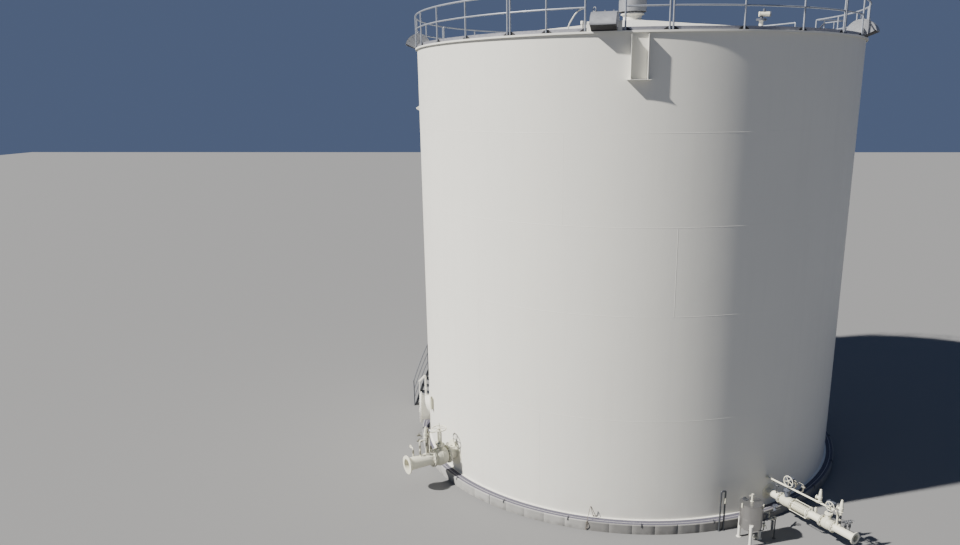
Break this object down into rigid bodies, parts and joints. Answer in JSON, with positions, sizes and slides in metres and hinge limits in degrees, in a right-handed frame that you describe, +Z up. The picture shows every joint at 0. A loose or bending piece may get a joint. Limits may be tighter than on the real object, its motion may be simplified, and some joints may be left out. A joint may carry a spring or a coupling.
{
  "type": "vertical storage tank",
  "caption": "Welded steel storage tank on a concrete ringwall, with a cone roof, rim vents, roof rail, spiral stair, shell manway, valved inlet and outlet nozzles and a recovery vessel.",
  "frame": {"origin": "on the tank's axis at ground level, under the foundation", "axes": "+Z up; -Y towards the side that the picture shows, between the inlet and the outlet; +X to that side's right"},
  "size_m": [15.9611, 16.4922, 15.42],
  "materials": {
    "concrete": "rough cast concrete",
    "compacted_fill": "compacted granular fill, never seen",
    "cream_paint": "satin off-white coating, a little weathered",
    "valve_paint": "satin off-white coating over castings",
    "galvanised": "dull hot-dip galvanised",
    "stainless": "brushed stainless steel",
    "dark_steel": "dark painted steel"
  },
  "bodies": {
    "tank": {"ringwall": "concrete", "foundation_fill": "compacted_fill", "bottom_plate": "cream_paint", "shell_course_1": "cream_paint", "shell_course_2": "cream_paint", "shell_course_3": "cream_paint", "shell_course_4": "cream_paint", "shell_course_5": "cream_paint", "top_angle": "cream_paint", "toe_plate": "cream_paint", "roof_plates": "cream_paint", "centre_vent_neck": "cream_paint", "centre_vent_hood": "galvanised", "rim_vent_1": "galvanised", "rim_vent_2": "galvanised", "rim_vent_3": "galvanised", "rim_vent_4": "galvanised", "rim_vent_5": "galvanised", "roof_rail_1": "galvanised", "roof_rail_2": "galvanised", "roof_rail_3": "galvanised", "roof_rail_4": "galvanised", "roof_rail_5": "galvanised", "roof_rail_6": "galvanised", "gauge_stand": "cream_paint", "gauge_head": "cream_paint", "shell_bracket": "cream_paint", "stair_flight_1": "galvanised", "stair_flight_2": "galvanised", "stair_flight_3": "galvanised", "stair_flight_4": "galvanised", "stair_rail_1": "galvanised", "stair_rail_2": "galvanised", "stair_rail_3": "galvanised", "stair_rail_4": "galvanised", "top_landing": "galvanised", "landing_rail": "galvanised", "manway_neck": "cream_paint", "manway_cover": "cream_paint", "inlet_nozzle": "cream_paint", "inlet_valve": "valve_paint", "inlet_pipe": "cream_paint", "outlet_nozzle": "cream_paint", "outlet_valve_1": "valve_paint", "outlet_expansion_joint": "cream_paint", "outlet_spool": "cream_paint", "outlet_valve_2": "valve_paint", "outlet_pipe": "cream_paint", "relief_line": "cream_paint", "relief_valve": "valve_paint", "recovery_vessel": "stainless", "drain_line": "cream_paint", "breather_pipe": "dark_steel"},
    "inlet_wheel": {"inlet_handwheel": "valve_paint"},
    "outlet_wheel_1": {"outlet_handwheel_1": "valve_paint"},
    "outlet_wheel_2": {"outlet_handwheel_2": "valve_paint"}
  },
  "joints": [
    {"name": "inlet_wheel_turn", "type": "hinge", "parent": "tank", "child": "inlet_wheel", "pos_m": [-5.76178, -5.11555, 1.86], "axis": [0, 0, 1], "continuous": true},
    {"name": "outlet_wheel_1_turn", "type": "hinge", "parent": "tank", "child": "outlet_wheel_1", "pos_m": [4.82502, -6.35156, 1.42], "axis": [0.7848, 0.6198, 0], "continuous": true},
    {"name": "outlet_wheel_2_turn", "type": "hinge", "parent": "tank", "child": "outlet_wheel_2", "pos_m": [5.70511, -7.46594, 1.33], "axis": [0.7848, 0.6198, 0], "continuous": true}
  ]
}
